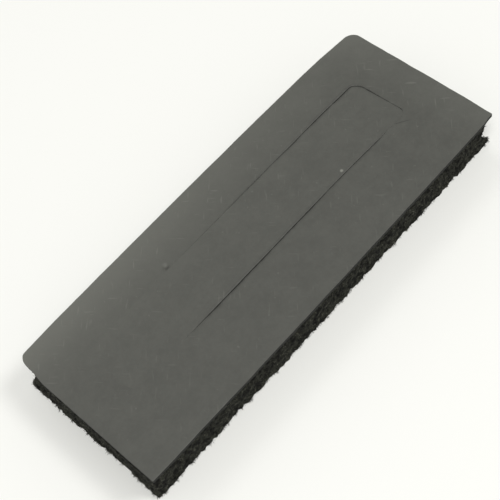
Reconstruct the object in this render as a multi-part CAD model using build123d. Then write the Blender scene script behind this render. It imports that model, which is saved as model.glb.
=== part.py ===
from build123d import *
import os

# Chalkboard eraser: a thick felt pad bonded under a thin rubber backing sheet,
# with a flexible magnet strip lying flush in a slot cut through the sheet.
# Millimetres. X runs along the length, Y across it, Z up. The origin is the
# centre of the footprint, on the surface that the felt rests on.

# Driving dimensions
LENGTH = 130.0
WIDTH = 50.4
TOTAL_HEIGHT = 16.0
SHEET_THICKNESS = 1.2
FILM_THICKNESS = 0.2

# Backing sheet: corners rounded along the +Y edge and almost square along the -Y edge
ROUNDED_CORNER = 4.2
TRIMMED_CORNER = 0.8
SHEET_EDGE_RADIUS = 0.25

# Magnet strip, set towards the +Y long edge
STRIP_LENGTH = 104.0
STRIP_WIDTH = 17.5
STRIP_OFFSET_Y = 3.3
STRIP_CORNER_RADIUS = 3.0
STRIP_EDGE_RADIUS = 0.15
SLOT_GAP = 0.25

# Felt pad: flush with the sheet at -X and +Y, short of it at +X and -Y.
# Its corners follow the sheet's along +Y.
FELT_SETBACK_END = 1.0
FELT_SETBACK_SIDE = 2.6
FELT_TIGHT_CORNER = 1.0
FELT_EDGE_RADIUS = 0.6

# Heights worked out from the stack
FELT_HEIGHT = TOTAL_HEIGHT - SHEET_THICKNESS - FILM_THICKNESS
SHEET_BASE = FELT_HEIGHT + FILM_THICKNESS


def block_outline(size_x, size_y, tight_corner):
    """Rectangle with the rounded corners at +Y and a tighter radius at -Y."""
    blank = Rectangle(size_x, size_y)
    rounded = fillet(blank.vertices().sort_by(Axis.Y)[-2:], ROUNDED_CORNER)
    return fillet(rounded.vertices().sort_by(Axis.Y)[:2], tight_corner)


def sheet_outline():
    """Footprint of the backing sheet."""
    return block_outline(LENGTH, WIDTH, TRIMMED_CORNER)


def felt_outline():
    """Footprint of the felt pad, placed under the sheet by its two setbacks."""
    pad = block_outline(LENGTH - FELT_SETBACK_END, WIDTH - FELT_SETBACK_SIDE, FELT_TIGHT_CORNER)
    return Pos(-FELT_SETBACK_END / 2, FELT_SETBACK_SIDE / 2) * pad


def strip_outline():
    """Long slim strip with rounded corners."""
    return Pos(0, STRIP_OFFSET_Y) * RectangleRounded(STRIP_LENGTH, STRIP_WIDTH, STRIP_CORNER_RADIUS)


def felt_pad():
    """Thick felt block, its wiping face eased along the rim."""
    block = extrude(felt_outline(), FELT_HEIGHT)
    wiping_rim = block.faces().sort_by(Axis.Z)[0].edges()
    return fillet(wiping_rim, FELT_EDGE_RADIUS)


def adhesive_film():
    """Thin bonding layer over the pad's top face, under the sheet and the strip."""
    return extrude(Pos(0, 0, FELT_HEIGHT) * felt_outline(), FILM_THICKNESS)


def backing_sheet():
    """Rubber sheet with the strip's slot cut through it."""
    slot = offset(strip_outline(), SLOT_GAP)
    sheet = extrude(Pos(0, 0, SHEET_BASE) * (sheet_outline() - slot), SHEET_THICKNESS)
    rim = sheet.faces().sort_by(Axis.Z)[-1].outer_wire().edges()
    return fillet(rim, SHEET_EDGE_RADIUS)


def magnet_strip():
    """Flexible magnet strip, as thick as the sheet, with softened top edges."""
    strip = extrude(Pos(0, 0, SHEET_BASE) * strip_outline(), SHEET_THICKNESS)
    rim = strip.faces().sort_by(Axis.Z)[-1].edges()
    return fillet(rim, STRIP_EDGE_RADIUS)


def main():
    nodes = {
        "felt_pad": felt_pad(),
        "adhesive_film": adhesive_film(),
        "backing_sheet": backing_sheet(),
        "magnet_strip": magnet_strip(),
    }
    os.makedirs("parts", exist_ok=True)
    for name, shape in nodes.items():
        export_step(shape, f"parts/{name}.step")


main()
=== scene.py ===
# Looks of a chalkboard eraser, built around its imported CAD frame.
# Metres. +X runs along the length, +Z up through the backing sheet.
import math

import bmesh
import bpy
import numpy as np
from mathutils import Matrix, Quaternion, Vector, noise

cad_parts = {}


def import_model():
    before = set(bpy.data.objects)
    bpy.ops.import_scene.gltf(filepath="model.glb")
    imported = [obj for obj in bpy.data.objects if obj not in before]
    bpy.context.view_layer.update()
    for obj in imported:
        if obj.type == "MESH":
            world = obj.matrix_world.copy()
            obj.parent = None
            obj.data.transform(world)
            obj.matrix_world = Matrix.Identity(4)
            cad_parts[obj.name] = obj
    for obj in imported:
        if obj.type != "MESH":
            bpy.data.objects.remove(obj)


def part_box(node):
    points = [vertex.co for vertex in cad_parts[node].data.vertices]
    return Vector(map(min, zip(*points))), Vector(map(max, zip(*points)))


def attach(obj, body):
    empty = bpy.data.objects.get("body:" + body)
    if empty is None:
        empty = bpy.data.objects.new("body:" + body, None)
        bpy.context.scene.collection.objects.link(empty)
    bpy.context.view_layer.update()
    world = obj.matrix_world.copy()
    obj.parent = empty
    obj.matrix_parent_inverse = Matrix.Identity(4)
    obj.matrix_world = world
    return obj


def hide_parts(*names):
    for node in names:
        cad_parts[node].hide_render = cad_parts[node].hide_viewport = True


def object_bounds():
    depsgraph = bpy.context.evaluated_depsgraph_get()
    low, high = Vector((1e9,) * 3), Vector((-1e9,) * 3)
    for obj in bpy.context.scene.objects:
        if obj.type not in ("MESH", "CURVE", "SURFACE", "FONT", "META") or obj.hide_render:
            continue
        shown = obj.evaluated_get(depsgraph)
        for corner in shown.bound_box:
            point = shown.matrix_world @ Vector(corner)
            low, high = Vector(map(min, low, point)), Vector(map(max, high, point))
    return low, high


MM = 0.001
BODY = "root"
SEED = 11

# Samples along every outline. All outlines share one count, so any two can be joined ring to ring.
LONG_STEPS = 300
SHORT_STEPS = 112
CORNER_STEPS = 8

# Edges bent by more than this many degrees are shaded sharp.
CREASE = 35

# Camera, relative to the centre of the sheet's top face. Angles are in degrees, distances are shares
# of the sheet's length, and the lens is in millimetres.
VIEW_AZIMUTH = -32.31
VIEW_ELEVATION = 58.64
VIEW_ROLL = -17.61
VIEW_DISTANCE = 2.288
AIM_ALONG = -0.0396
AIM_ACROSS = -0.0084
LENS = 83.75

# Light. Each softbox has a place, in metres from the origin, and a power in watts.
LIGHT_COLOR = (1.0, 1.0, 0.955)
WORLD_STRENGTH = 0.375
SOFTBOX_SIZE = 0.8
SOFTBOXES = {
    "key": ((-0.84, -0.84, 2.4), 38.0),
    "side": ((1.2, -1.2, 2.4), 21.4),
    "back": ((0.3, 1.2, 2.4), 5.1),
}
FLOOR_REACH = 2.0

# Backing sheet. Corners are in the order of an outline, from the -X -Y one. A bow is how much further
# out a long edge is in its middle than at its ends. Upper edges are at +Y and lower ones at -Y.
SHEET_CORNERS = (0.25 * MM, 0.2 * MM, 3.0 * MM, 2.8 * MM)
SHEET_EDGE = 0.14 * MM
UPPER_BOW = 0.5 * MM
UPPER_INSET = 0.3 * MM
LOWER_BOW = 0.25 * MM
TRIM_REACH = 3.8 * MM
TRIM_DEPTH = 0.5 * MM
# The short edges are moved within this distance of them: the +X one is shifted out and slants in
# towards -Y, with a tip drawn out there, and the -X one draws in over this span below the +Y edge.
END_REACH = 3 * MM
END_SHIFT = 0.05 * MM
END_SLANT = 0.35 * MM
TIP_SHIFT = (0.14 * MM, -0.18 * MM)
TIP_REACH = 1.1 * MM
TAPER_DEPTH = 0.7 * MM
TAPER_SPAN = (11 * MM, 3.5 * MM)
# How far in from the -X (near) or the +X (far) end the +Y edge starts to fall away, and how far it falls
NEAR_FALL = (17 * MM, 0.3244 * MM)
FAR_FALL = (23 * MM, 1.0316 * MM)

# Marks on the top. The pit is placed from the strip's -X +Y corner, and the hairline cut's two ends
# and the fleck from its +X -Y corner.
PIT_PLACE = (29.9 * MM, 1.0 * MM)
PIT_RADIUS = 0.75 * MM
PIT_DEPTH = 0.32 * MM
HAIRLINE_ENDS = ((-4.6 * MM, -0.7 * MM), (-0.4 * MM, -3.6 * MM))
HAIRLINE_WIDTH = 0.22 * MM
FLECK_PLACE = (-24.6 * MM, 1.2 * MM)
FLECK_RADIUS = 0.62 * MM

# Magnet strip and the cut round it
STRIP_CORNERS = (3.0 * MM, 1.8 * MM, 3.5 * MM, 3.0 * MM)
STRIP_FOOT_EDGE = 0.1 * MM
LOWER_OFFSET = 0.12 * MM
LOWER_END_SHIFT = 0.1 * MM
UPPER_END_SHIFT = -0.3 * MM
# How far the knife drifted towards -Y, and where that starts and stops, in from the +X end
LOWER_DRIFT = (0.5 * MM, 32 * MM, 4 * MM)
UPPER_DRIFT = (0.3 * MM, 17 * MM, 3 * MM)
# The cut bulges at its +X +Y corner. The inset is how far in the bulge's middle is.
BULGE_INSET = (1.8 * MM, 0.8 * MM)
BULGE_SHIFT = (0.2 * MM, 0.3 * MM)
BULGE_REACH = 1.2 * MM
CUT_OPEN = 0.04 * MM
CUT_CLOSED = 0.001 * MM

# Lips of the slot, on the sheet and the strip alike. The drop is a share of the width.
LIP_WIDTH = 0.65 * MM
LIP_DROP = 0.42

# Shades are linear greys, and a tint multiplies their channels.
RUBBER_TINT = (1.0, 1.01, 0.92)
SHEET_SHADE = 0.0685
STRIP_SHADE = 0.0705
CUT_SHADE = 0.014
FELT_TINT = (1.0, 1.02, 0.80)
WHITE_TINT = (1.0, 1.0, 1.0)

# Ranges of a noise texture's value over which a material goes from one look to the other
NOISE_SPAN = (0.3, 0.7)
CLUMP_SPAN = (0.36, 0.62)

# Felt. Along the -X edge its top draws in FELT_TAPER times as far as the sheet does.
FELT_CORNERS = (0.9 * MM, 0.5 * MM, 4.0 * MM, 3.5 * MM)
FOOT_CORNERS = (0.9 * MM, 0.9 * MM, 1.8 * MM, 1.8 * MM)
FELT_ROWS = 46
FELT_TOP_EDGE = 0.4 * MM
FELT_TAPER = 1.15
SPLAY_HEIGHT = 5.5 * MM
FOOT_SPREAD = 0.3 * MM
FELT_WAIST = 0.35 * MM
FELT_CLUMP = 1.7 * MM
SOLE_PITS = 0.35 * MM

# Where the felt is drawn out, a shift and its reach: a tuft at the +X -Y corner of the foot, the heel
# at the foot's -X +Y corner, and a shoulder above the tuft
TUFT_SHIFT = (2.1 * MM, 0)
TUFT_REACH = 1.25 * MM
HEEL_SHIFT = (-0.45 * MM, 0.9 * MM)
HEEL_REACH = 2.6 * MM
SHOULDER_SHIFT = 1.1 * MM
SHOULDER_REACH = 2.4 * MM

# Loose fibres. A fibre thins towards FIBRE_TIP of its thickness, and its centre line stays
# FIBRE_MARGIN radii inside the pad's heights.
FIBRE_TIP = 0.35
FIBRE_MARGIN = 1.1
LONGEST_FUZZ = 1.4 * MM
LONGEST_SOLE_FIBRE = 3.5 * MM


# ---------------------------------------------------------------- outlines and rings

def unit(vectors):
    return vectors / np.linalg.norm(vectors, axis=-1, keepdims=True)


def rounded_outline(corners, radii):
    """Closed outline, counter-clockwise from the -X -Y corner, with an arc at each of four corners."""
    corners = [np.array(c, float) for c in corners]
    sides = (LONG_STEPS, SHORT_STEPS, LONG_STEPS, SHORT_STEPS)
    angles = np.linspace(0, math.pi / 2, CORNER_STEPS + 1)[:, None]
    arcs = []
    for k, corner in enumerate(corners):
        back = unit(corners[k - 1] - corner) * radii[k]
        ahead = unit(corners[(k + 1) % 4] - corner) * radii[k]
        arcs.append(corner + back + ahead - ahead * np.cos(angles) - back * np.sin(angles))
    points = []
    for k, arc in enumerate(arcs):
        share = np.linspace(0, 1, sides[k] + 1)[1:-1, None]
        start, end = arc[-1], arcs[(k + 1) % 4][0]
        points += [arc, start + (end - start) * share]
    return np.concatenate(points)


def box_corners(box):
    """Corners of a box seen from above, in the order of an outline."""
    low, high = box
    return [(low.x, low.y), (high.x, low.y), (high.x, high.y), (low.x, high.y)]


def spine_share():
    """How far along the spine each sample of an outline belongs, from 0 at -X to 1 at +X."""
    corner, short = CORNER_STEPS + 1, SHORT_STEPS - 1
    along = np.linspace(0, 1, LONG_STEPS + 1)[1:-1]
    low, high = np.zeros(corner), np.ones(corner)
    return np.concatenate([low, along, high, np.ones(short), high, along[::-1], low, np.zeros(short)])


def outward(outline):
    """Unit normals of a closed counter-clockwise outline, in its plane."""
    tangent = np.roll(outline, -1, 0) - np.roll(outline, 1, 0)
    return unit(np.stack([tangent[:, 1], -tangent[:, 0]], 1))


def pulled(outline, corner, shift, reach):
    """The outline with the part near a corner drawn out by a shift."""
    away = np.linalg.norm(outline - np.array(corner), axis=1)
    return outline + np.exp(-(away / reach) ** 2)[:, None] * np.array(shift)


def ring(outline, inset, height):
    """The outline moved inwards by inset, at a height. Both may differ from sample to sample."""
    flat = outline - outward(outline) * np.reshape(inset, (-1, 1))
    return np.column_stack([flat, np.broadcast_to(height, len(outline))])


def between(first, last, steps):
    """Rings that lie between two given ones and split the way into equal steps."""
    shares = np.linspace(0, 1, steps + 1)[1:-1]
    return [first + (last - first) * share for share in shares]


def spine_ring(outline, height):
    """A ring folded flat onto the outline's long middle line, which closes a cap."""
    low, high = outline.min(0), outline.max(0)
    middle, half_width = (low[1] + high[1]) / 2, (high[1] - low[1]) / 2
    start, end = low[0] + half_width, high[0] - half_width
    x = start + (end - start) * spine_share()
    return np.column_stack([x, np.full(len(x), middle), np.full(len(x), height)])


def rounded_edge(radius, steps=4):
    """(inset, drop) pairs from a flat face round its edge to the wall."""
    angles = np.linspace(0, math.pi / 2, steps + 1)
    return [(radius * (1 - math.sin(a)), radius * (1 - math.cos(a))) for a in angles]


def add_piece(name, mesh, node):
    """Puts a finished mesh in the scene as a piece that rides on the body, for one CAD node."""
    piece = bpy.data.objects.new(name, mesh)
    bpy.context.scene.collection.objects.link(piece)
    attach(piece, BODY)
    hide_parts(node)
    return piece


def loft(name, rings, closed=False, creased=True, lip_shade=None):
    """Mesh whose faces join each ring to the next, and the last to the first if closed.

    The last argument gives a share of painted shade on the slot's lips for each sample of each ring, which
    the material reads.
    """
    count = len(rings[0])
    at = np.arange(count)
    after = (at + 1) % count
    faces = []
    for k in range(len(rings) if closed else len(rings) - 1):
        a, b = k * count, (k + 1) % len(rings) * count
        faces.append(np.stack([a + at, a + after, b + after, b + at], 1))
    mesh = bpy.data.meshes.new(name)
    mesh.from_pydata(np.concatenate(rings).tolist(), [], np.concatenate(faces).tolist())
    if lip_shade:
        layer = mesh.attributes.new("lip_shade", "FLOAT", "POINT")
        layer.data.foreach_set("value", np.concatenate(lip_shade).astype(np.float32))
    work = bmesh.new()
    work.from_mesh(mesh)
    bmesh.ops.remove_doubles(work, verts=work.verts, dist=1e-7)
    bmesh.ops.recalc_face_normals(work, faces=work.faces)
    work.to_mesh(mesh)
    work.free()
    mesh.shade_smooth()
    if creased:
        mesh.set_sharp_from_angle(angle=math.radians(CREASE))
    return mesh


def noise_at(points, lump, seed, stretch=(1, 1, 1)):
    """Smooth noise, about -1 to 1, at each point. lump is the size of its features."""
    scaled = np.asarray(points) / (np.array(stretch) * lump) + np.array([3.7, -5.3, 9.1]) * seed
    return np.array([noise.noise(Vector(p)) for p in scaled]) * 1.6


def smooth_step(values, start, end):
    """0 up to the start, 1 from the end on, and eased between them."""
    share = np.clip((values - start) / (end - start), 0, 1)
    return share * share * (3 - 2 * share)


def level(outline):
    """The outline's points with a height of 0, for noise."""
    return np.column_stack([outline, np.zeros(len(outline))])


# ---------------------------------------------------------------- node helpers

def new_material(name):
    """A new material, its node tree and its shader."""
    material = bpy.data.materials.new(name)
    material.use_nodes = True
    tree = material.node_tree
    return material, tree, tree.nodes["Principled BSDF"]


def add_node(tree, kind, inputs=None, **settings):
    """Adds a shader node, sets its properties, and fills or links its inputs by name or number."""
    node = tree.nodes.new(kind)
    for key, value in settings.items():
        setattr(node, key, value)
    for key, value in (inputs or {}).items():
        if isinstance(value, bpy.types.NodeSocket):
            tree.links.new(value, node.inputs[key])
        else:
            node.inputs[key].default_value = value
    return node


def place(tree):
    """Position on the object in metres."""
    return add_node(tree, "ShaderNodeTexCoord").outputs["Object"]


def stretched(tree, scale, turn=0.0):
    """Position for a texture drawn out by scale along axes turned about Z."""
    inputs = {"Vector": place(tree), "Scale": scale, "Rotation": (0, 0, turn)}
    return add_node(tree, "ShaderNodeMapping", inputs, vector_type="TEXTURE").outputs["Vector"]


def noise_texture(tree, lump, detail, rough, vector=None):
    """Noise whose features are about lump across."""
    inputs = {"Vector": vector or place(tree), "Scale": 1 / lump, "Detail": detail, "Roughness": rough}
    return add_node(tree, "ShaderNodeTexNoise", inputs).outputs["Fac"]


def ramp(tree, value, low, high, to_low=0.0, to_high=1.0):
    """Maps value from low..high to to_low..to_high, smoothly, and holds it past the ends."""
    inputs = {"Value": value, "From Min": low, "From Max": high, "To Min": to_low, "To Max": to_high}
    node = add_node(tree, "ShaderNodeMapRange", inputs, interpolation_type="SMOOTHSTEP")
    return node.outputs["Result"]


def mix_color(tree, share, first, second):
    """The first colour where share is 0, and the second where it is 1."""
    node = add_node(tree, "ShaderNodeMix", data_type="RGBA")
    for key, value in (("Factor", share), ("A", first), ("B", second)):
        socket = next(s for s in node.inputs if s.name == key and s.enabled)
        if isinstance(value, bpy.types.NodeSocket):
            tree.links.new(value, socket)
        else:
            socket.default_value = value
    return next(s for s in node.outputs if s.enabled)


def math_node(tree, operation, first, second):
    return add_node(tree, "ShaderNodeMath", {0: first, 1: second}, operation=operation).outputs[0]


def grey(value, tint=RUBBER_TINT):
    """Tinted grey as a colour with alpha."""
    return (*(value * t for t in tint), 1)


def add_bump(tree, shader, height, distance, strength):
    inputs = {"Height": height, "Distance": distance, "Strength": strength}
    bump = add_node(tree, "ShaderNodeBump", inputs)
    tree.links.new(bump.outputs["Normal"], shader.inputs["Normal"])


# ---------------------------------------------------------------- materials

def rubber_face(name, shade, shift, marks):
    """Satin warm-grey rubber skin: cloudy mottling, pale specks, faint rubs, a painted sheen, painted
    shade along the slot's lips, a fine grain and marks.

    The shift, in metres, gives each piece its own part of the mottling, the specks and the grain.
    """
    material, tree, shader = new_material(name)
    moved = {0: place(tree), 1: (shift, -shift, 0)}
    offset = add_node(tree, "ShaderNodeVectorMath", moved, operation="ADD").outputs[0]
    mottle = noise_texture(tree, 7 * MM, 5, 0.9, offset)
    color = mix_color(tree, ramp(tree, mottle, *NOISE_SPAN), grey(shade * 0.88), grey(shade * 1.12))
    specks = noise_texture(tree, 1.2 * MM, 1, 0.4, offset)
    color = mix_color(tree, ramp(tree, specks, 0.74, 0.84, 0, 0.45), color, grey(shade * 2.0))
    # Share of painted sheen, which also makes the rubs stronger where it is.
    painted_sheen = painted_edge_sheen(tree)
    scuffed = ramp(tree, painted_sheen, 0, 0.3, 0.35, 0.85)
    for turn, lump in ((-0.82, 0.7 * MM), (0.65, 0.8 * MM)):
        rubs = noise_texture(tree, lump, 1, 0.5, stretched(tree, (1, 7, 1), turn))
        rubs = math_node(tree, "MULTIPLY", ramp(tree, rubs, 0.66, 0.8), scuffed)
        color = mix_color(tree, rubs, color, grey(shade * 1.75))
    # Painted sheen: the face is lightened where its reflection would brighten it.
    color = mix_color(tree, painted_sheen, color, grey(shade * 2.2))
    # Painted shade darkens the slot's lips next to the gap.
    color = mix_color(tree, painted_slit_shade(tree), color, grey(shade * 0.45))
    color = add_marks(tree, marks, color, shade)
    tree.links.new(color, shader.inputs["Base Color"])
    tree.links.new(ramp(tree, mottle, *NOISE_SPAN, 0.46, 0.54), shader.inputs["Roughness"])
    grain = noise_texture(tree, 0.25 * MM, 3, 0.6, offset)
    add_bump(tree, shader, grain, 0.02 * MM, 0.5)
    return material


def painted_slit_shade(tree):
    """Painted shade along the lips of the slot, made ragged."""
    lip_shade = add_node(tree, "ShaderNodeAttribute", attribute_name="lip_shade").outputs["Fac"]
    ragged = ramp(tree, noise_texture(tree, 1.2 * MM, 3, 0.7), 0.3, 0.65, 0.35, 0.95)
    return math_node(tree, "MULTIPLY", lip_shade, ragged)


def painted_edge_sheen(tree):
    """Share of painted sheen on the face: most towards the +Y edge, by the -X +Y corner, where the satin
    face's reflection brightens it; also lighter along the +X end and a little more towards +X.
    """
    axes = add_node(tree, "ShaderNodeSeparateXYZ", {"Vector": place(tree)}).outputs
    inner = ramp(tree, axes["Y"], 2 * MM, 16 * MM, 0, 0.15)
    outer = ramp(tree, axes["Y"], 12 * MM, 27 * MM, 0, 0.52)
    along = ramp(tree, axes["X"], -62 * MM, 46 * MM, 1.0, 0.36)
    side = math_node(tree, "MULTIPLY", math_node(tree, "ADD", inner, outer), along)
    end = ramp(tree, axes["X"], 50 * MM, 66 * MM, 0, 0.2)
    drift = ramp(tree, axes["X"], -70 * MM, 70 * MM, 0, 0.06)
    return math_node(tree, "ADD", side, math_node(tree, "ADD", end, drift))


def add_marks(tree, marks, color, shade):
    """A hairline cut, if the face has one, and its spots: a centre, radius, strength and tone for each."""
    if "cut" in marks:
        cut = line_mask(tree, *marks["cut"], HAIRLINE_WIDTH)
        color = mix_color(tree, math_node(tree, "MULTIPLY", cut, 0.5), color, grey(shade * 0.3))
    for centre, radius, strength, tone in marks["spots"]:
        spot = math_node(tree, "MULTIPLY", spot_mask(tree, centre, radius), strength)
        color = mix_color(tree, spot, color, grey(shade * tone))
    return color


def spot_mask(tree, centre, radius):
    """1 at a point of the face, fading to 0 at a radius."""
    away = add_node(tree, "ShaderNodeVectorMath", {0: place(tree), 1: centre}, operation="DISTANCE")
    return ramp(tree, away.outputs["Value"], radius * 0.3, radius, 1, 0)


def line_mask(tree, start, end, width):
    """1 along a straight stroke on the face, fading to 0 at its sides and its far end."""
    stroke = end - start
    ahead = stroke.normalized()
    aside = Vector((-ahead.y, ahead.x, 0))
    offset = add_node(tree, "ShaderNodeVectorMath", {0: place(tree), 1: start}, operation="SUBTRACT")
    dots = []
    for axis in (ahead, aside):
        pair = {0: offset.outputs[0], 1: axis}
        dot = add_node(tree, "ShaderNodeVectorMath", pair, operation="DOT_PRODUCT")
        dots.append(dot.outputs["Value"])
    along, across = dots
    off_line = add_node(tree, "ShaderNodeMath", {0: across}, operation="ABSOLUTE").outputs[0]
    mask = ramp(tree, off_line, width * 0.2, width, 1, 0)
    begun = ramp(tree, along, -0.2 * MM, 0.2 * MM)
    ended = ramp(tree, along, stroke.length * 0.5, stroke.length, 1, 0)
    return math_node(tree, "MULTIPLY", mask, math_node(tree, "MULTIPLY", begun, ended))


def rubber_edge(name):
    """Rough, darker cut through the rubber, streaked by the blade."""
    material, tree, shader = new_material(name)
    streaks = noise_texture(tree, 0.5 * MM, 3, 0.6, stretched(tree, (1, 1, 4)))
    streaked = ramp(tree, streaks, *NOISE_SPAN)
    color = mix_color(tree, streaked, grey(CUT_SHADE * 0.6), grey(CUT_SHADE * 1.4))
    tree.links.new(color, shader.inputs["Base Color"])
    shader.inputs["Roughness"].default_value = 0.85
    shader.inputs["Specular IOR Level"].default_value = 0.3
    add_bump(tree, shader, streaks, 0.05 * MM, 0.7)
    return material


def felt_material(name):
    """Nearly black needled felt: clumps of greyer fibre over deep dark gaps."""
    material, tree, shader = new_material(name)
    clumps = noise_texture(tree, FELT_CLUMP, 2, 0.6)
    clumped = ramp(tree, clumps, *CLUMP_SPAN)
    color = mix_color(tree, clumped, grey(0.003, FELT_TINT), grey(0.026, FELT_TINT))
    lint = noise_texture(tree, 0.6 * MM, 4, 0.8)
    bare = ramp(tree, clumps, 0.4, 0.6, 0.3, 1.1)
    lint_share = math_node(tree, "MULTIPLY", ramp(tree, lint, 0.53, 0.64, 0, 0.8), bare)
    color = mix_color(tree, lint_share, color, grey(0.10, FELT_TINT))
    tree.links.new(color, shader.inputs["Base Color"])
    shader.inputs["Roughness"].default_value = 0.95
    shader.inputs["Specular IOR Level"].default_value = 0.2
    add_bump(tree, shader, lint, 0.5 * MM, 1.0)
    return material


def fibre_material(name):
    """Loose felt fibres, each a little lighter or darker than the next."""
    material, tree, shader = new_material(name)
    tint = add_node(tree, "ShaderNodeAttribute", attribute_name="tint").outputs["Fac"]
    clumps = noise_texture(tree, FELT_CLUMP, 2, 0.6)
    shade = math_node(tree, "MULTIPLY", tint, ramp(tree, clumps, *CLUMP_SPAN, 0.25, 1.15))
    color = mix_color(tree, shade, grey(0.005, FELT_TINT), grey(0.15, FELT_TINT))
    tree.links.new(color, shader.inputs["Base Color"])
    shader.inputs["Roughness"].default_value = 0.75
    shader.inputs["Specular IOR Level"].default_value = 0.3
    return material


def glue_material(name):
    """Dull clear glue over black felt, thicker and thinner in patches."""
    material, tree, shader = new_material(name)
    patches = noise_texture(tree, 2 * MM, 3, 0.6)
    color = mix_color(tree, ramp(tree, patches, *NOISE_SPAN), grey(0.015), grey(0.03))
    tree.links.new(color, shader.inputs["Base Color"])
    tree.links.new(ramp(tree, patches, *NOISE_SPAN, 0.5, 0.7), shader.inputs["Roughness"])
    return material


def floor_material(name):
    """Matt white paper, very slightly uneven."""
    material, tree, shader = new_material(name)
    patches = noise_texture(tree, 150 * MM, 2, 0.5)
    color = mix_color(tree, patches, grey(0.89, WHITE_TINT), grey(0.9, WHITE_TINT))
    tree.links.new(color, shader.inputs["Base Color"])
    shader.inputs["Roughness"].default_value = 0.9
    shader.inputs["Specular IOR Level"].default_value = 0.1
    return material


# ---------------------------------------------------------------- backing sheet and magnet strip

def sheet_outline(box):
    """Outline of the sheet: bowed long edges, a trimmed +X -Y corner with a tip, and an uneven cut."""
    low, high = box
    outline = rounded_outline(box_corners(box), SHEET_CORNERS)
    x, y = outline.T.copy()
    across = np.clip(y / high.y, -1, 1)
    bow = np.cos(math.pi * x / (high.x - low.x))
    outline[:, 1] += np.where(y > 0, UPPER_BOW * bow - UPPER_INSET, LOWER_BOW * (bow - 1)) * across
    outline[:, 1] -= corner_fall(box, x) * np.clip(across, 0, 1)
    trim = np.clip((x - high.x) / TRIM_REACH + 1, 0, 1)
    by_lower_edge = np.clip(-across, 0, 1) ** 4
    outline[:, 1] += TRIM_DEPTH * trim * by_lower_edge
    at_end = smooth_step(x, high.x - END_REACH, high.x)
    outline[:, 0] += at_end * (END_SHIFT - END_SLANT * by_lower_edge)
    outline[:, 0] += near_taper(box, x, y)
    tip = outline[np.argmax(outline[:, 0] - outline[:, 1])]
    outline = pulled(outline, tip, TIP_SHIFT, TIP_REACH)
    flat = level(outline)
    cut = noise_at(flat, 6 * MM, 3) * 0.05 * MM + noise_at(flat, 1.2 * MM, 4) * 0.02 * MM
    return outline + outward(outline) * cut[:, None]


def corner_fall(box, x):
    """How far the +Y edge falls away towards each end."""
    low, high = box
    fall = 0
    for from_end, (reach, depth) in ((x - low.x, NEAR_FALL), (high.x - x, FAR_FALL)):
        fall = fall + depth * np.clip(1 - from_end / reach, 0, None) ** 2
    return fall


def near_taper(box, x, y):
    """How far the -X edge draws in towards the +Y edge."""
    low, high = box
    at_edge = smooth_step(-x, -low.x - END_REACH, -low.x)
    start, stop = TAPER_SPAN
    return TAPER_DEPTH * at_edge * smooth_step(y, high.y - start, high.y - stop)


def drift(x, end, distance, start, stop):
    """How far the knife has drifted at x, from 0 at the start to the full distance at the stop."""
    return distance * smooth_step(x, end - start, end - stop)


def cut_outline(box):
    """The line that the slot was cut along. The knife drifted off the straight towards the +X end."""
    low, high = box
    corners = box_corners(box)
    corners[1] = (high.x + LOWER_END_SHIFT, low.y)
    corners[2] = (high.x + UPPER_END_SHIFT, high.y)
    outline = rounded_outline(corners, STRIP_CORNERS)
    x, y = outline.T.copy()
    lower = LOWER_OFFSET - drift(x, high.x, *LOWER_DRIFT)
    upper = -drift(x, high.x, *UPPER_DRIFT)
    outline[:, 1] += np.where(y < (low.y + high.y) / 2, lower, upper)
    bulge = (high.x - BULGE_INSET[0], high.y - BULGE_INSET[1])
    outline = pulled(outline, bulge, BULGE_SHIFT, BULGE_REACH)
    return outline + outward(outline) * noise_at(level(outline), 9 * MM, 6)[:, None] * 0.06 * MM


def cut_width(outline, box):
    """Width of the gap at each sample, as a share of its widest: it closes towards the -X end."""
    low, high = box
    x, y = outline.T
    along = (x - low.x) / (high.x - low.x)
    across = (y - low.y) / (high.y - low.y)
    upper = 0.42 * smooth_step(along, 0.44, 0.54) + 0.58 * smooth_step(along, 0.66, 0.82)
    lower = smooth_step(along, 0.17, 0.3) - 0.4 * smooth_step(along, 0.55, 0.7)
    lower -= 0.6 * smooth_step(along, 0.84, 0.96)
    end = 0.4 + 0.15 * smooth_step(across, 0.35, 0.5) + 0.25 * smooth_step(across, 0.8, 0.95)
    end *= smooth_step(across, 0.0, 0.06)
    width = np.where(across > 0.5, upper, lower)
    width += (end - width) * smooth_step(x, high.x - 3.5 * MM, high.x - 0.5 * MM)
    breaks = noise_at(level(outline), 7 * MM, 8) * 0.35 + noise_at(level(outline), 2.2 * MM, 9) * 0.25
    return np.clip(width * (1 + breaks), 0, 1.4)


def face_waves(points):
    """Shallow unevenness of the flat rubber."""
    return noise_at(points, 34 * MM, 21) * 0.05 * MM + noise_at(points, 8 * MM, 22) * 0.008 * MM


def half_gap(width):
    """How far the gap reaches to each side of the cut, for a width that is a share of the widest."""
    return (CUT_CLOSED + (CUT_OPEN - CUT_CLOSED) * width) / 2


def slot_lip():
    """(inset, drop) pairs over a lip of the slot, worn wider than it is deep."""
    return [(inset, LIP_DROP * drop) for inset, drop in rounded_edge(LIP_WIDTH)]


def painted_lip_shade(lip, before, after, width):
    """Painted shade for each ring: the most where the lip meets the gap, and none before and after the
    lip.
    """
    clean = np.zeros(len(width))
    most = np.clip(width * 2, 0, 1)
    shares = [1 - 0.8 * inset / LIP_WIDTH for inset, _ in lip]
    return [clean] * before + [most * share for share in shares] + [clean] * after


def pit_centre(strip_box):
    """Where the pit is on the sheet's face, just past the strip's +Y edge."""
    low, high = strip_box
    return Vector((low.x + PIT_PLACE[0], high.y + PIT_PLACE[1], high.z))


def pit(points, centre):
    """Depth at each point of a small round pit in the face."""
    away = np.linalg.norm(points[:, :2] - np.array(centre.xy), axis=1)
    return PIT_DEPTH * np.exp(-(away / PIT_RADIUS) ** 2)


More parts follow.
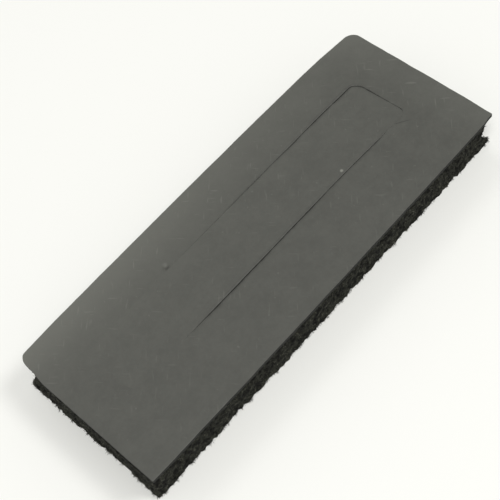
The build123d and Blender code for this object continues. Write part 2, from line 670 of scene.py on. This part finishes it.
def make_sheet(box, strip_box):
    """Sheet lofted as a ring: round its outer edge, under it, up through the slot and over its face."""
    low, high = box
    outer = sheet_outline(box)
    cut = cut_outline(strip_box)
    width = cut_width(cut, strip_box)
    slot = cut + outward(cut) * half_gap(width)[:, None]
    edge, lip = rounded_edge(SHEET_EDGE), slot_lip()[::-1]
    rim_top = [ring(outer, inset, high.z - drop) for inset, drop in edge]
    rim_bottom = [ring(outer, inset, low.z + drop / 2) for inset, drop in reversed(edge)]
    wall = between(rim_top[-1], rim_bottom[0], steps=4)
    slot_wall = [ring(slot, 0, low.z), ring(slot, 0, (low.z + high.z) / 2)]
    slot_top = [ring(slot, -inset * width, high.z - drop * width) for inset, drop in lip]
    under = between(rim_bottom[-1], slot_wall[0], steps=8)
    margin = ring(outer, SHEET_EDGE + 0.05 * MM, high.z)
    top = between(slot_top[-1], margin, steps=36) + [margin]
    for flat in slot_top[-1:] + top + rim_top[:1]:
        flat[:, 2] += face_waves(flat) - pit(flat, pit_centre(strip_box))
    rings = rim_top + wall + rim_bottom + under + slot_wall + slot_top + top
    # Painted shade on the slot's lips, for the face material.
    lip_shade = painted_lip_shade(lip, len(rings) - len(slot_top) - len(top), len(top), width)
    mesh = loft("backing_sheet_skin", rings, closed=True, lip_shade=lip_shade)
    piece = add_piece("backing_sheet_skin", mesh, "backing_sheet")
    face = rubber_face("rubber_face", SHEET_SHADE, 0.0, sheet_marks(strip_box))
    paint_face_and_edge(piece, face, rubber_edge("rubber_cut"))


def make_strip(box):
    """Strip lofted from the middle of its face, over its edges, to the middle of its underside."""
    low, high = box
    cut = cut_outline(box)
    width = cut_width(cut, box)
    outline = cut - outward(cut) * half_gap(width)[:, None]
    lip = slot_lip()
    rim_top = [ring(outline, inset * width, high.z - drop * width) for inset, drop in lip]
    foot_edge = rounded_edge(STRIP_FOOT_EDGE)[::-1]
    rim_bottom = [ring(outline, inset, low.z + drop) for inset, drop in foot_edge]
    top_middle, bottom_middle = spine_ring(outline, high.z), spine_ring(outline, low.z)
    top = [top_middle] + between(top_middle, rim_top[0], steps=16)
    bottom = between(rim_bottom[-1], bottom_middle, steps=4) + [bottom_middle]
    for flat in top + rim_top[:1]:
        flat[:, 2] += face_waves(flat)
    # Painted shade on the slot's lips, for the face material.
    lip_shade = painted_lip_shade(lip, len(top), len(rim_bottom) + len(bottom), width)
    mesh = loft("magnet_strip_skin", top + rim_top + rim_bottom + bottom, lip_shade=lip_shade)
    piece = add_piece("magnet_strip_skin", mesh, "magnet_strip")
    face = rubber_face("magnet_face", STRIP_SHADE, 0.4, strip_marks(box))
    paint_face_and_edge(piece, face, rubber_edge("magnet_cut"))


def paint_face_and_edge(piece, face, edge):
    """Gives the flat faces one material and the cut walls another."""
    piece.data.materials.append(face)
    piece.data.materials.append(edge)
    for polygon in piece.data.polygons:
        polygon.material_index = 0 if abs(polygon.normal.z) > 0.5 else 1


def sheet_marks(strip_box):
    """A hairline cut past the strip's +X -Y corner, and painted shade and a painted highlight on the pit's
    two sides.
    """
    low, high = strip_box
    ends = [Vector((high.x + x, low.y + y, high.z)) for x, y in HAIRLINE_ENDS]
    # Painted shade on the pit's -Y side and a painted highlight on its +Y side.
    pit_shade = pit_centre(strip_box) + Vector((-0.1, -0.6, 0)) * MM
    pit_highlight = pit_centre(strip_box) + Vector((0.2, 0.6, 0)) * MM
    return {
        "cut": ends,
        "spots": [(pit_shade, 0.9 * MM, 0.36, 0.4), (pit_highlight, 0.9 * MM, 0.22, 2.2)],
    }


def strip_marks(strip_box):
    """A pale fleck just inside the -Y edge."""
    low, high = strip_box
    fleck = Vector((high.x + FLECK_PLACE[0], low.y + FLECK_PLACE[1], high.z))
    return {"spots": [(fleck, FLECK_RADIUS, 0.8, 3.4)]}


# ---------------------------------------------------------------- felt

def felt_outlines(box):
    """The pad's outline under the sheet, and the squarer, splayed one at its foot."""
    corners = box_corners(box)
    top = rounded_outline(corners, FELT_CORNERS)
    x, y = top.T.copy()
    top[:, 0] += near_taper(box, x, y) * FELT_TAPER
    top[:, 1] -= corner_fall(box, x) * np.clip(y / box[1].y, 0, 1)
    foot = rounded_outline(corners, FOOT_CORNERS)
    foot = foot + outward(foot) * (FOOT_SPREAD, 0)
    foot = pulled(foot, corners[1], TUFT_SHIFT, TUFT_REACH)
    foot = pulled(foot, corners[3], HEEL_SHIFT, HEEL_REACH)
    return top, foot


def make_film(box, felt_box):
    """Glue film over the pad's top, squeezed out a little here and there along its rim."""
    low, high = box
    outline = felt_outlines(felt_box)[0]
    flat = level(outline)
    squeeze = noise_at(flat, 4 * MM, 41) * 0.08 * MM + noise_at(flat, 1 * MM, 42) * 0.05 * MM
    rim = [
        ring(outline, 0.2 * MM - squeeze, high.z),
        ring(outline, 0.1 * MM - squeeze, (low.z + high.z) / 2),
        ring(outline, 0.2 * MM - squeeze, low.z),
    ]
    top_middle, bottom_middle = spine_ring(outline, high.z), spine_ring(outline, low.z)
    top = [top_middle] + between(top_middle, rim[0], steps=6)
    bottom = between(rim[-1], bottom_middle, steps=6) + [bottom_middle]
    mesh = loft("adhesive_film_skin", top + rim + bottom)
    piece = add_piece("adhesive_film_skin", mesh, "adhesive_film")
    piece.data.materials.append(glue_material("glue"))


def felt_bulge(base, low, high):
    """How far the wall stands out at each point of a ring: a waist, folds, lumps and tufts.

    The folds are looser low down and towards -X.
    """
    share = (base[:, 2] - low.z) / (high.z - low.z)
    foot = 1 - share
    slack = smooth_step(-base[:, 0], -10 * MM, 45 * MM)
    out = -FELT_WAIST * np.sin(math.pi * share)
    out += noise_at(base, 7 * MM, 31, (1, 1, 1.6)) * (0.06 + 0.16 * slack) * MM * (0.5 + 0.5 * foot)
    out += noise_at(base, 3.2 * MM, 32, (1, 1, 2.0)) * 0.07 * MM
    out += noise_at(base, 1.3 * MM, 33, (1, 1, 1.3)) * 0.18 * MM
    out += noise_at(base, 0.8 * MM, 34) * 0.28 * MM
    return out


def felt_wall(box):
    """Rings of the pad's wall from top to bottom."""
    low, high = box
    top, foot = felt_outlines(box)
    rings = []
    for k in range(FELT_ROWS + 1):
        height = (high.z - low.z) * (1 - k / FELT_ROWS)
        splay = 1 - smooth_step(height, 0.6 * MM, SPLAY_HEIGHT)
        outline = top + (foot - top) * splay
        shoulder = SHOULDER_SHIFT * smooth_step(height, 4 * MM, 9.5 * MM)
        outline = pulled(outline, (high.x, low.y), (shoulder, 0), SHOULDER_REACH)
        base = ring(outline, 0, low.z + height)
        rings.append(ring(outline, -felt_bulge(base, low, high), base[:, 2]))
    lift = np.clip(noise_at(rings[-1], 1.7 * MM, 36) + 0.1, 0, 1) * 0.5 * MM
    for k, fade in ((1, 1.0), (2, 0.8), (3, 0.55), (4, 0.3)):
        rings[-k][:, 2] += lift * fade
    return rings


def make_felt(box):
    """Pad lofted from the middle of its top, down its walls, to the middle of its wiping face.

    Returns the rings of the walls and of the wiping face, for the fibres.
    """
    low, high = box
    wall = felt_wall(box)
    top_rim = ring(wall[0][:, :2], FELT_TOP_EDGE, high.z)
    foot = wall[-1]
    rim = []
    for inset, rise in ((0.15 * MM, 0.5), (0.4 * MM, 0.15), (0.8 * MM, 0.0)):
        height = low.z + (foot[:, 2] - low.z) * rise
        rim.append(ring(foot[:, :2], inset, height))
    sole_middle = spine_ring(foot[:, :2], low.z)
    sole = between(rim[-1], sole_middle, steps=36) + [sole_middle]
    for flat in sole:
        lumps = noise_at(flat, 1.4 * MM, 37) + noise_at(flat, 5 * MM, 38)
        flat[:, 2] = low.z + np.clip(lumps * 0.5 + 0.3, 0, 1) * SOLE_PITS
    rings = [spine_ring(wall[0][:, :2], high.z), top_rim] + wall + rim + sole
    mesh = loft("felt_pad_body", rings, creased=False)
    piece = add_piece("felt_pad_body", mesh, "felt_pad")
    piece.data.materials.append(felt_material("felt"))
    return wall, sole


def strand_lines(roots, directions, lengths, curl, rng, points=6):
    """Curved centre lines of fibres, shaped (fibre, point, 3)."""
    t = np.linspace(0, 1, points)[None, :, None]
    reach = lengths[:, None, None]
    sideways = unit(np.cross(directions, rng.normal(size=directions.shape)))
    bend = sideways[:, None] * (curl[:, None, None] * reach * t ** 2)
    return roots[:, None] + directions[:, None] * reach * t + bend


def tube_faces(points, sides):
    """Faces of one fibre, by the numbers of its vertices: its walls, its pointed tip and its flat root."""
    faces = []
    for j in range(points - 2):
        for s in range(sides):
            n = (s + 1) % sides
            faces.append((j * sides + s, j * sides + n, (j + 1) * sides + n, (j + 1) * sides + s))
    last = (points - 2) * sides
    faces += [(last + s, last + (s + 1) % sides, last + sides) for s in range(sides)]
    return faces + [tuple(range(sides))[::-1]]


def strand_mesh(name, lines, radii, tints, bottom, top, sides=3):
    """Closed tapering tubes along the lines, kept between two heights, with a tint for each."""
    count, points = lines.shape[:2]
    lines = lines.copy()
    margin = radii[:, None] * FIBRE_MARGIN
    lines[..., 2] = np.clip(lines[..., 2], bottom + margin, top - margin)
    along = unit(np.gradient(lines, axis=1))
    first = unit(np.cross(along, np.array([0.31, 0.52, 0.8])))
    second = np.cross(along, first)
    taper = radii[:, None] * np.linspace(1, FIBRE_TIP, points)[None, :]
    angles = np.arange(sides) * 2 * math.pi / sides
    around = [
        lines[:, :-1] + (first * math.cos(a) + second * math.sin(a))[:, :-1] * taper[:, :-1, None]
        for a in angles
    ]
    body = np.stack(around, 2).reshape(count, -1, 3)
    verts = np.concatenate([body, lines[:, -1:]], 1)
    per = verts.shape[1]
    starts = (np.arange(count) * per).tolist()
    one = tube_faces(points, sides)
    faces = [tuple(start + i for i in face) for start in starts for face in one]
    mesh = bpy.data.meshes.new(name)
    mesh.from_pydata(verts.reshape(-1, 3).tolist(), [], faces)
    tint = mesh.attributes.new("tint", "FLOAT", "POINT")
    tint.data.foreach_set("value", np.repeat(tints, per).astype(np.float32))
    mesh.shade_smooth()
    return mesh


def wall_frame(wall, columns):
    """Outward directions and directions along the wall for some of its columns."""
    normals = outward(wall[FELT_ROWS // 2][:, :2])[columns]
    normals = np.column_stack([normals, np.zeros(len(columns))])
    return normals, np.cross(normals, (0, 0, 1))


def corner_distance(wall, points):
    """How far each point is from the nearest of the pad's four corners, seen from above."""
    low, high = wall[0].min(0), wall[0].max(0)
    corners = [(x, y) for x in (low[0], high[0]) for y in (low[1], high[1])]
    return np.min([np.linalg.norm(points[:, :2] - np.array(corner), axis=1) for corner in corners], 0)


def wall_fuzz(wall, rng, count=5200):
    """Fibres that lie on the wall, a few of them standing off it."""
    rows = 2 + ((FELT_ROWS - 2) * rng.random(count) ** 0.8).astype(int)
    columns = rng.integers(0, len(wall[0]), count)
    normals, along = wall_frame(wall, columns)
    roots = np.array(wall)[rows, columns] - normals * 0.12 * MM
    lean = normals * rng.uniform(0.05, 0.3, (count, 1)) + along * rng.normal(0, 0.7, (count, 1))
    directions = unit(lean + np.array([0, 0, -1]) * rng.normal(0.25, 0.8, (count, 1)))
    lengths = np.minimum(rng.gamma(4, 0.28, count) * MM, LONGEST_FUZZ)
    lengths = np.minimum(lengths, 0.3 * MM + 0.6 * corner_distance(wall, roots))
    lines = strand_lines(roots, directions, lengths, rng.uniform(-0.5, 0.5, count), rng)
    return lines, rng.uniform(0.03, 0.06, count) * MM


def foot_locks(wall, rng, locks=1500, each=4):
    """Little tufts of fibre along the bottom edge."""
    columns = rng.integers(0, len(wall[0]), locks)
    normals, along = wall_frame(wall, columns)
    up = np.array([0, 0, 1])
    lean = unit(normals + along * rng.normal(0, 0.8, (locks, 1)) - up * rng.uniform(0, 0.6, (locks, 1)))
    roots = wall[-3][columns] - normals * 0.3 * MM + up * rng.uniform(-0.4, 1.2, (locks, 1)) * MM
    roots = np.repeat(roots, each, 0) + rng.normal(0, 0.12, (locks * each, 3)) * MM
    lean = unit(np.repeat(lean, each, 0) + rng.normal(0, 0.3, (locks * each, 3)))
    lengths = np.repeat(rng.uniform(0.4, 1.3, locks), each) * rng.uniform(0.6, 1.1, locks * each) * MM
    lines = strand_lines(roots, lean, lengths, rng.uniform(-0.4, 0.4, locks * each), rng)
    return lines, rng.uniform(0.04, 0.08, locks * each) * MM


def corner_lock(wall, rng, count=90):
    """Fibres dragged out along the splayed +X -Y corner of the foot."""
    foot = wall[-1]
    corner = foot[np.argmax(foot[:, 0] - foot[:, 1])]
    spread = rng.normal(size=(count, 3)) * np.array([0.5, 0.4, 0.3]) * MM
    roots = corner + np.array([-1.6, 0.6, 0.6]) * MM + spread
    tip = corner + np.array([0.6, 0.2, 0.3]) * MM + rng.normal(0, 0.3, (count, 3)) * MM
    lengths = np.linalg.norm(tip - roots, axis=1) * rng.uniform(0.6, 1.1, count)
    lines = strand_lines(roots, unit(tip - roots), lengths, rng.uniform(-0.2, 0.2, count), rng)
    return lines, rng.uniform(0.05, 0.11, count) * MM


def sole_fibres(sole, rng, count=5200):
    """Fibres lying flat across the wiping face."""
    flat = np.concatenate(sole)
    low, high = flat.min(0), flat.max(0)
    roots = rng.uniform(low, high, (count, 3))
    roots[:, 2] = low[2] + rng.uniform(0.02, 0.3, count) * MM
    turn = rng.uniform(0, 2 * math.pi, count)
    directions = np.column_stack([np.cos(turn), np.sin(turn), rng.normal(-0.05, 0.08, count)])
    inside = np.minimum(roots - low, high - roots)[:, :2].min(1) > 1.6 * MM
    roots, directions = roots[inside], unit(directions[inside])
    lengths = np.minimum(rng.gamma(4, 0.45, len(roots)) * MM, LONGEST_SOLE_FIBRE)
    lines = strand_lines(roots, directions, lengths, rng.uniform(-0.6, 0.6, len(roots)), rng)
    return lines, rng.uniform(0.03, 0.06, len(roots)) * MM


def add_fibres(name, bundles, box, rng):
    """One piece of fibres from bundles of centre lines and radii."""
    lines = np.concatenate([lines for lines, radii in bundles])
    radii = np.concatenate([radii for lines, radii in bundles])
    tints = np.clip(rng.gamma(1.2, 0.28, len(radii)), 0, 1)
    low, high = box
    mesh = strand_mesh(name, lines, radii, tints, low.z, high.z)
    piece = add_piece(name, mesh, "felt_pad")
    piece.data.materials.append(fibre_material(name + "_fibre"))


def make_fibres(wall, sole, box):
    """The felt's loose fibres, all drawn from one random sequence."""
    rng = np.random.default_rng(SEED)
    add_fibres("felt_wall_fibres", [wall_fuzz(wall, rng)], box, rng)
    add_fibres("felt_foot_fibres", [foot_locks(wall, rng), corner_lock(wall, rng)], box, rng)
    add_fibres("felt_sole_fibres", [sole_fibres(sole, rng)], box, rng)


# ---------------------------------------------------------------- stage, light and camera

def view_direction():
    """From the object towards the camera."""
    azimuth, elevation = math.radians(VIEW_AZIMUTH), math.radians(VIEW_ELEVATION)
    level_part = math.cos(elevation)
    return Vector((math.sin(azimuth) * level_part, -math.cos(azimuth) * level_part, math.sin(elevation)))


def add_camera(top_centre, length):
    """Camera at the picture's own angle."""
    data = bpy.data.cameras.new("camera")
    data.lens = LENS
    data.clip_start = 0.01
    camera = bpy.data.objects.new("camera", data)
    back = view_direction()
    aim = top_centre + Vector((AIM_ALONG, AIM_ACROSS, 0)) * length
    camera.location = aim + back * VIEW_DISTANCE * length
    camera.rotation_mode = "QUATERNION"
    roll = Quaternion((0, 0, 1), math.radians(VIEW_ROLL))
    camera.rotation_quaternion = (-back).to_track_quat("-Z", "Y") @ roll
    bpy.context.scene.collection.objects.link(camera)
    bpy.context.scene.camera = camera


def add_softbox(name, stand, power):
    """Square soft light, aimed at the object."""
    data = bpy.data.lights.new(name, "AREA")
    data.size = SOFTBOX_SIZE
    data.energy = power
    data.color = LIGHT_COLOR
    light = bpy.data.objects.new(name, data)
    light.location = stand
    light.rotation_mode = "QUATERNION"
    light.rotation_quaternion = (-Vector(stand)).to_track_quat("-Z", "Y")
    bpy.context.scene.collection.objects.link(light)


def add_light():
    """Even studio light: a pale surround and the softboxes."""
    world = bpy.data.worlds.new("studio")
    world.use_nodes = True
    background = world.node_tree.nodes["Background"]
    background.inputs["Color"].default_value = (*LIGHT_COLOR, 1)
    background.inputs["Strength"].default_value = WORLD_STRENGTH
    bpy.context.scene.world = world
    for name, (stand, power) in SOFTBOXES.items():
        add_softbox(name, stand, power)
    bpy.context.scene.view_settings.view_transform = "Standard"


def add_floor(height):
    """White floor at a height, for the picture only."""
    signs = ((-1, -1), (1, -1), (1, 1), (-1, 1))
    corners = [(x * FLOOR_REACH, y * FLOOR_REACH, height) for x, y in signs]
    mesh = bpy.data.meshes.new("floor")
    mesh.from_pydata(corners, [], [(0, 1, 2, 3)])
    floor = bpy.data.objects.new("floor", mesh)
    bpy.context.scene.collection.objects.link(floor)
    floor.data.materials.append(floor_material("floor_paper"))


def main():
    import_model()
    cad_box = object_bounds()
    sheet_box, strip_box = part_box("backing_sheet"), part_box("magnet_strip")
    low, high = sheet_box
    add_camera(Vector(((low.x + high.x) / 2, (low.y + high.y) / 2, high.z)), high.x - low.x)
    add_light()
    add_floor(cad_box[0].z)
    make_sheet(sheet_box, strip_box)
    make_strip(strip_box)
    felt_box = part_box("felt_pad")
    make_film(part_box("adhesive_film"), felt_box)
    wall, sole = make_felt(felt_box)
    make_fibres(wall, sole, felt_box)


main()
